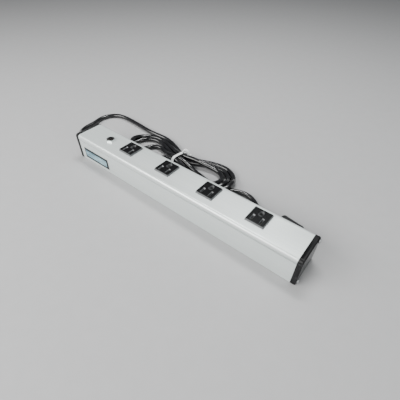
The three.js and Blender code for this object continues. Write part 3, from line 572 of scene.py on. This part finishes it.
def hankRoute():
    points = [np.array(p) for p in cord["lead"]]
    here = np.array([tieX, *strandPlaces[0]])
    way = np.array([1.0, 0, 0])
    points.append(here)
    for i, (x, y, radius, startAngle, endAngle, heights) in enumerate(folds):
        angles = np.radians(np.linspace(startAngle, endAngle, len(heights)))
        bend = [
            np.array([x + radius * np.cos(angle), y + radius * np.sin(angle), height])
            for angle, height in zip(angles, heights)
        ]
        wayIn = np.array([np.sin(angles[0]), -np.cos(angles[0]), 0])
        wayOut = np.array([np.sin(angles[-1]), -np.cos(angles[-1]), 0])
        points += easeBetween(here, way, bend[0], wayIn)
        points += bend
        way = -way
        tied = np.array([tieX, *strandPlaces[i + 1]])
        points += easeBetween(bend[-1], wayOut, tied, way)
        points.append(tied)
        here = tied
    return points + [np.array(p) for p in cord["tail"]]


settling = {
    "rounds": 260,
    "fall": 0.00008,  # metres each round
    "gap": 0.0081,  # between the middles of strands that touch
    "sameStretch": 0.026,  # closer along the cord than this, two points don't push each other
    "push": 1.3,
    "stay": 0.99,  # how much of a sideways move is kept each round
    "stiffness": 4,
    "heldPoints": 6,
    "backOfHousing": 0.0285,
    "halfHousing": 0.207,
    "tieHeight": 0.0054,
    "tieReach": 0.0045,
    "tieDepths": (0.05, 0.088),
}


def settleCord(start):
    # gravity, strands that push each other apart, a stiff jacket, the desk and the housing's back
    place = start.copy()
    gap = settling["gap"]
    ends = settling["heldPoints"]
    count = len(place)
    order = np.arange(count)
    apart = np.abs(order[:, None] - order[None]) * cord["step"] > settling["sameStretch"]
    held = np.zeros(count, bool)
    held[:ends] = True
    held[-ends:] = True
    loose = (~held)[:, None]
    for turnNumber in range(settling["rounds"]):
        place[~held, 2] -= settling["fall"]
        between = place[:, None] - place[None]
        distance = np.linalg.norm(between, axis=2)
        first, second = np.nonzero(np.triu((distance < gap) & apart))
        if len(first):
            away = between[first, second]
            far = distance[first, second][:, None]
            push = 0.5 * (gap - far) * away / np.maximum(far, 1e-9)
            total = np.zeros_like(place)
            times = np.zeros(count)
            np.add.at(total, first, push)
            np.add.at(total, second, -push)
            np.add.at(times, first, 1)
            np.add.at(times, second, 1)
            place += total / np.maximum(times, 1)[:, None] * loose * settling["push"]
        moved = place - start
        moved[:, :2] *= settling["stay"]
        for smoothing in range(settling["stiffness"]):
            moved[1:-1] += 0.25 * (moved[:-2] + moved[2:] - 2 * moved[1:-1])
        place = start + moved
        nearTie = np.abs(place[:, 0] - tieX) < settling["tieReach"]
        nearTie &= place[:, 1] > settling["tieDepths"][0]
        nearTie &= place[:, 1] < settling["tieDepths"][1]
        place[:, 2] = np.maximum(place[:, 2], np.where(nearTie, settling["tieHeight"], lying))
        behind = (place[:, 0] > -settling["halfHousing"]) & (place[:, 0] < settling["halfHousing"])
        place[behind, 1] = np.maximum(place[behind, 1], settling["backOfHousing"])
        place[held] = start[held]
    return place


def ringFrames(line):
    # the way along, and two directions across it that never spin
    along = np.gradient(line, axis=0)
    along /= np.linalg.norm(along, axis=1)[:, None]
    side = np.cross(along[0], (0, 0, 1.0))
    side /= np.linalg.norm(side)
    sides = []
    for way in along:
        side = side - way * np.dot(side, way)
        side /= np.linalg.norm(side)
        sides.append(side)
    sides = np.array(sides)
    return along, sides, np.cross(sides, along)


def sweepTube(name, line, radius, sides, material):
    # a round tube along the line, closed at both ends, with its UV map running along it
    across, up = ringFrames(line)[1:]
    gone = np.concatenate([[0], np.cumsum(np.linalg.norm(np.diff(line, axis=0), axis=1))])
    shape = bmesh.new()
    uv = shape.loops.layers.uv.new("alongCord")
    rings = []
    for i, centre in enumerate(line):
        ring = []
        for k in range(sides):
            angle = 2 * math.pi * k / sides
            way = math.cos(angle) * across[i] + math.sin(angle) * up[i]
            ring.append(shape.verts.new(centre + radius * way))
        rings.append(ring)
    for i in range(len(line) - 1):
        for k in range(sides):
            other = (k + 1) % sides
            face = shape.faces.new(
                (rings[i][k], rings[i][other], rings[i + 1][other], rings[i + 1][k])
            )
            face.smooth = True
            corners = ((k, i), (k + 1, i), (k + 1, i + 1), (k, i + 1))
            for loop, (around, ringNumber) in zip(face.loops, corners):
                loop[uv].uv = (around / sides, gone[ringNumber])
    shape.faces.new(rings[0][::-1])
    shape.faces.new(rings[-1])
    bmesh.ops.recalc_face_normals(shape, faces=shape.faces)
    return finishMesh(name, shape, material)


def finishMesh(name, shape, material):
    mesh = bpy.data.meshes.new(name)
    shape.to_mesh(mesh)
    shape.free()
    mesh.materials.append(material)
    piece = bpy.data.objects.new(name, mesh)
    bpy.context.scene.collection.objects.link(piece)
    return piece


routed = evenSteps(smoothLine(hankRoute(), cord["step"]), cord["step"])[0]
settled = settleCord(routed)
cordLine, cordLength = evenSteps(smoothLine(settled[::2], 0.002), cord["ringStep"])
mainsCord = sweepTube("mainsCord", cordLine, cord["diameter"] / 2, cord["sides"], jacket)
print("cord laid:", round(cordLength, 3), "m")


tie = {
    "width": 0.0046,
    "thickness": 0.0011,
    "gap": 0.0001,
    "loopStep": 0.0012,
    "tail": (0.0150, 0.0060, 0.0062),  # how far it runs, leans back and rises
    "tailTwists": 0.75,
    "tailRings": 30,
    "tailWidth": (0.75, 0.25),  # a share of the band's width, and how much of it goes by the end
    "tailDrop": 0.003,
    "endsApart": 0.0006,
}


def bandOutline():
    # the tight loop round all the strands that pass through the tie
    near = np.abs(cordLine[:, 0] - tieX) < 0.003
    centres = cordLine[near & (cordLine[:, 1] > 0.045)][:, 1:]  # depths and heights
    reach = cord["diameter"] / 2 + tie["gap"] + tie["thickness"] / 2
    loop = []
    for angle in np.radians(np.arange(0, 360, 4)):
        way = np.array([np.cos(angle), np.sin(angle)])
        outermost = centres[np.argmax(centres @ way)]
        loop.append([tieX, *(outermost + reach * way)])
    loop = np.array(loop)
    loop[:, 2] = np.maximum(loop[:, 2], tie["thickness"] / 2 + 0.0001)
    closed = np.vstack([loop, loop[:1]])
    return evenSteps(closed, tie["loopStep"])[0][:-1]


def ribbonRing(shape, centre, across, up, width, thickness):
    # a flat ribbon with a wire swelling its middle
    outline = [
        (-0.5, -0.28), (-0.5, 0.28), (-0.36, 0.42), (-0.16, 0.42), (-0.08, 0.62), (0.08, 0.62),
        (0.16, 0.42), (0.36, 0.42), (0.5, 0.28), (0.5, -0.28), (0.36, -0.42), (-0.36, -0.42),
    ]
    return [shape.verts.new(centre + a * width * across + b * thickness * up) for a, b in outline]


def bridge(shape, first, second):
    for k in range(len(first)):
        other = (k + 1) % len(first)
        face = shape.faces.new((first[k], first[other], second[other], second[k]))
        face.smooth = True


def makeTie():
    shape = bmesh.new()
    loop = bandOutline()
    middle = loop.mean(0)
    alongX = np.array([1.0, 0, 0])
    rings = []
    for i, centre in enumerate(loop):
        way = loop[(i + 1) % len(loop)] - loop[i - 1]
        way /= np.linalg.norm(way)
        out = np.cross(way, alongX)
        if np.dot(out, centre - middle) < 0:
            out = -out
        rings.append(ribbonRing(shape, centre, alongX, out, tie["width"], tie["thickness"]))
    for i in range(len(rings)):
        bridge(shape, rings[i], rings[(i + 1) % len(rings)])
    # two ends, twisted together at the top, that lean over the back
    top = loop[np.argmax(loop[:, 2] + 0.35 * loop[:, 1])]
    ways = np.linspace(0, 1, tie["tailRings"])
    run, back, rise = tie["tail"]
    path = []
    for t in ways:
        hump = rise * math.sin(math.pi * min(1, 1.25 * t)) - tie["tailDrop"] * t * t
        path.append(top + np.array([run * t, back * math.sin(1.6 * t), hump]))
    path = np.array(path)
    across, up = ringFrames(path)[1:]
    for shift in (0, math.pi):
        tailRings = []
        for i, centre in enumerate(path):
            angle = shift + 2 * math.pi * tie["tailTwists"] * ways[i]
            side = math.cos(angle) * across[i] + math.sin(angle) * up[i]
            face = math.cos(angle) * up[i] - math.sin(angle) * across[i]
            narrow = tie["tailWidth"][0] - tie["tailWidth"][1] * ways[i] ** 3
            middle = centre + face * tie["endsApart"]
            tailRings.append(
                ribbonRing(shape, middle, side, face, tie["width"] * narrow, tie["thickness"])
            )
        for i in range(len(tailRings) - 1):
            bridge(shape, tailRings[i], tailRings[i + 1])
        shape.faces.new(tailRings[0][::-1])
        shape.faces.new(tailRings[-1])
    bmesh.ops.recalc_face_normals(shape, faces=shape.faces)
    return finishMesh("twistTie", shape, finishes["tie_plastic"])


twistTie = makeTie()
print("tie wrapped")


def makeTree(name, inputs):
    tree = bpy.data.node_groups.new(name, "GeometryNodeTree")
    tree.is_modifier = True
    tree.interface.new_socket("Geometry", in_out="INPUT", socket_type="NodeSocketGeometry")
    for label, kind in inputs.items():
        tree.interface.new_socket(label, in_out="INPUT", socket_type=kind)
    tree.interface.new_socket("Geometry", in_out="OUTPUT", socket_type="NodeSocketGeometry")
    return tree


def treeNode(tree, kind, settings=None, values=None):
    made = tree.nodes.new(kind)
    for key, value in (settings or {}).items():
        setattr(made, key, value)
    for key, value in (values or {}).items():
        if isinstance(value, bpy.types.NodeSocket):
            tree.links.new(value, made.inputs[key])
        else:
            made.inputs[key].default_value = value
    return made


def endTree(tree, solid, material):
    whole = treeNode(tree, "GeometryNodeRealizeInstances", None, {0: solid.outputs[0]})
    painted = treeNode(tree, "GeometryNodeSetMaterial", None, {
        0: whole.outputs[0], "Material": material,
    })
    treeNode(tree, "NodeGroupOutput", None, {0: painted.outputs[0]})
    return tree


def makeRibTree():
    # rings along +X that follow a taper
    numbers = ["Spacing", "First Radius", "Radius Step", "Bead"]
    kinds = {"Start": "NodeSocketVector", "Count": "NodeSocketInt", "Material": "NodeSocketMaterial"}
    kinds.update({label: "NodeSocketFloat" for label in numbers})
    tree = makeTree("ribsAlongTaper", kinds)
    given = tree.nodes.new("NodeGroupInput").outputs
    step = treeNode(tree, "ShaderNodeCombineXYZ", None, {"X": given["Spacing"]})
    line = treeNode(tree, "GeometryNodeMeshLine", None, {
        "Count": given["Count"], "Start Location": given["Start"], "Offset": step.outputs[0],
    })
    number = tree.nodes.new("GeometryNodeInputIndex").outputs[0]
    radius = treeNode(tree, "ShaderNodeMath", {"operation": "MULTIPLY_ADD"}, {
        0: number, 1: given["Radius Step"], 2: given["First Radius"],
    })
    ring = treeNode(tree, "GeometryNodeCurvePrimitiveCircle", None, {
        "Resolution": 40, "Radius": 1.0,
    })
    upright = treeNode(tree, "GeometryNodeTransform", None, {
        "Geometry": ring.outputs[0], "Rotation": (0, math.pi / 2, 0),
    })
    scaled = treeNode(tree, "ShaderNodeCombineXYZ", None, {
        "X": 1.0, "Y": radius.outputs[0], "Z": radius.outputs[0],
    })
    placed = treeNode(tree, "GeometryNodeInstanceOnPoints", None, {
        "Points": line.outputs[0], "Instance": upright.outputs[0], "Scale": scaled.outputs[0],
    })
    loose = treeNode(tree, "GeometryNodeRealizeInstances", None, {0: placed.outputs[0]})
    bead = treeNode(tree, "GeometryNodeCurvePrimitiveCircle", None, {
        "Resolution": 10, "Radius": given["Bead"],
    })
    solid = treeNode(tree, "GeometryNodeCurveToMesh", None, {
        "Curve": loose.outputs[0], "Profile Curve": bead.outputs[0],
    })
    return endTree(tree, solid, given["Material"])


def makeRidgeTree():
    # straight rounded bars, side by side along +X
    kinds = {
        "Start": "NodeSocketVector", "Offset": "NodeSocketVector", "Half Bar": "NodeSocketVector",
        "Count": "NodeSocketInt", "Thickness": "NodeSocketFloat", "Material": "NodeSocketMaterial",
    }
    tree = makeTree("gripRidges", kinds)
    given = tree.nodes.new("NodeGroupInput").outputs
    line = treeNode(tree, "GeometryNodeMeshLine", None, {
        "Count": given["Count"], "Start Location": given["Start"], "Offset": given["Offset"],
    })
    otherHalf = treeNode(tree, "ShaderNodeVectorMath", {"operation": "SCALE"}, {
        0: given["Half Bar"], "Scale": -1.0,
    })
    bar = treeNode(tree, "GeometryNodeCurvePrimitiveLine", None, {
        "Start": otherHalf.outputs[0], "End": given["Half Bar"],
    })
    placed = treeNode(tree, "GeometryNodeInstanceOnPoints", None, {
        "Points": line.outputs[0], "Instance": bar.outputs[0],
    })
    loose = treeNode(tree, "GeometryNodeRealizeInstances", None, {0: placed.outputs[0]})
    rod = treeNode(tree, "GeometryNodeCurvePrimitiveCircle", None, {
        "Resolution": 12, "Radius": given["Thickness"],
    })
    solid = treeNode(tree, "GeometryNodeCurveToMesh", None, {
        "Curve": loose.outputs[0], "Profile Curve": rod.outputs[0], "Fill Caps": True,
    })
    return endTree(tree, solid, given["Material"])


def growPiece(name, tree, values, place=Matrix.Identity(4)):
    # runs the tree once and keeps its result as a plain mesh
    seedMesh = bpy.data.meshes.new(name + "Seed")
    seedMesh.from_pydata([(0, 0, 0)], [], [])
    seed = bpy.data.objects.new(name + "Seed", seedMesh)
    bpy.context.scene.collection.objects.link(seed)
    modifier = seed.modifiers.new("ribs", "NODES")
    modifier.node_group = tree
    for item in tree.interface.items_tree:
        if item.in_out == "INPUT" and item.name in values:
            modifier[item.identifier] = values[item.name]
    evaluated = seed.evaluated_get(bpy.context.evaluated_depsgraph_get())
    mesh = bpy.data.meshes.new_from_object(evaluated)
    bpy.data.objects.remove(seed)
    shape = bmesh.new()
    shape.from_mesh(mesh)
    bmesh.ops.remove_doubles(shape, verts=shape.verts, dist=1e-7)
    bmesh.ops.recalc_face_normals(shape, faces=shape.faces)
    shape.to_mesh(mesh)
    shape.free()
    mesh.transform(place)
    for face in mesh.polygons:
        face.use_smooth = True
    mesh.name = name
    piece = bpy.data.objects.new(name, mesh)
    bpy.context.scene.collection.objects.link(piece)
    return piece


ribTree = makeRibTree()
ridgeTree = makeRidgeTree()

boot = {
    "tip": (-0.2335, 0.008, 0.014),
    "count": 9, "spacing": 0.0028, "tipRadius": 0.00512, "rootRadius": 0.00638, "bead": 0.00055,
}
bootRibs = growPiece("strainReliefRibs", ribTree, {
    "Start": boot["tip"],
    "Count": boot["count"],
    "Spacing": boot["spacing"],
    "First Radius": boot["tipRadius"],
    "Radius Step": (boot["rootRadius"] - boot["tipRadius"]) / (boot["count"] - 1),
    "Bead": boot["bead"],
    "Material": finishes["cord_pvc"],
})

plug = {
    "tip": (0.1290, 0.0440, 0.0), "yaw": -8, "middleHeight": 0.011, "width": 0.026,
    "ribStart": 0.002, "ribCount": 5, "ribSpacing": 0.0027,
    "ribFirst": 0.0054, "ribLast": 0.0071, "bead": 0.0005,
    "ridgeStart": 0.0245, "ridgeCount": 6, "ridgeSpacing": 0.0030,
    "ridgeRadius": 0.0007, "ridgeHalf": 0.0042,
}
plugPlace = Matrix.Translation(plug["tip"]) @ Matrix.Rotation(math.radians(plug["yaw"]), 4, "Z")
plugRibs = growPiece("plugReliefRibs", ribTree, {
    "Start": (plug["ribStart"], 0.0, plug["middleHeight"]),
    "Count": plug["ribCount"],
    "Spacing": plug["ribSpacing"],
    "First Radius": plug["ribFirst"],
    "Radius Step": (plug["ribLast"] - plug["ribFirst"]) / (plug["ribCount"] - 1),
    "Bead": plug["bead"],
    "Material": finishes["cord_pvc"],
}, plugPlace)
plugRidges = []
for sideName, side in (("Front", -1), ("Back", 1)):
    plugRidges.append(growPiece("plugGrip" + sideName, ridgeTree, {
        "Start": (plug["ridgeStart"], side * plug["width"] / 2, plug["middleHeight"]),
        "Offset": (plug["ridgeSpacing"], 0.0, 0.0),
        "Half Bar": (0.0, 0.0, plug["ridgeHalf"]),
        "Count": plug["ridgeCount"],
        "Thickness": plug["ridgeRadius"],
        "Material": finishes["cord_pvc"],
    }, plugPlace))
print("ribs grown")


# Rounded solids are shown by a welded copy with smooth shading
slotOf = {part["node"]: part["material_slot"] for part in frame["record"]["subparts"]}
roundSolids = [
    "top_cover", "base_channel", "end_cap_left", "end_cap_right", "strain_relief", "plug_body",
    "plug_ground_pin", "reset_button", "breaker_nut", "breaker_case", "cord_jacket_end",
    "hot_wire_in", "hot_bus_wire", "neutral_bus_wire", "ground_bus_wire", "ground_bond_wire",
    "ground_screw",
]
roundSolids += [name for name in sorted(frame["nodes"]) if name.startswith("cap_screw")]
roundSolids += [name for name in sorted(frame["nodes"]) if name.endswith("_face")]
welding = {"sharpAngle": 34, "faceSharpAngle": 14, "flatWeight": 50}  # angles in degrees


def weldedCopy(name):
    sharpAngle = welding["faceSharpAngle" if name.endswith("_face") else "sharpAngle"]
    shape = bmesh.new()
    shape.from_mesh(frame["nodes"][name].data)
    bmesh.ops.remove_doubles(shape, verts=shape.verts, dist=1e-6)
    for face in shape.faces:
        face.smooth = True
    piece = finishMesh("shown_" + name, shape, finishes[slotOf[name]])
    piece.data.set_sharp_from_angle(angle=math.radians(sharpAngle))
    # flat faces stay flat next to rounded edges
    evening = piece.modifiers.new("evenNormals", "WEIGHTED_NORMAL")
    evening.mode = "FACE_AREA"
    evening.weight = welding["flatWeight"]
    evening.keep_sharp = True
    evened = bpy.data.meshes.new_from_object(piece.evaluated_get(bpy.context.evaluated_depsgraph_get()))
    evened.name = piece.name
    piece.modifiers.remove(evening)
    piece.data = evened
    return piece


shown = {name: weldedCopy(name) for name in roundSolids}
for name, solid in frame["nodes"].items():
    for materialSlot in solid.material_slots:
        materialSlot.material = finishes[slotOf[name]]
print("solids finished:", len(frame["nodes"]))


desk = {
    "half": 3.0,
    "below": 0.0001,  # under what stands on it
    "tone": colour(0.43, 0.43, 0.435),
    "fleck": colour(0.40, 0.40, 0.405),
}


def makeDesk():
    shape = bmesh.new()
    bmesh.ops.create_grid(shape, x_segments=2, y_segments=2, size=desk["half"])
    bmesh.ops.translate(shape, verts=shape.verts, vec=(0, 0, -desk["below"]))
    finish = Finish("paleDesk", Specular_IOR_Level=0.3)
    flecks = finish.noise(60, detail=4)
    base = finish.mix(flecks, desk["tone"], desk["fleck"])
    finish.set(Base_Color=base, Roughness=flecks * 0.1 + 0.6, Normal=finish.bump(flecks, 0.05, 0.0004))
    return finishMesh("desk", shape, finish.material)


makeDesk()
print("desk laid")


# What moves with what
for name, piece in shown.items():
    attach(piece, frame["nodes"][name]["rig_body"])
    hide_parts(name)

for piece in [mainsCord, twistTie, bootRibs, plugRibs, *plugRidges]:
    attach(piece, "housing")
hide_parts("cord_lead", "cord_hank", "cord_tail")
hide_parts("cord_tie")
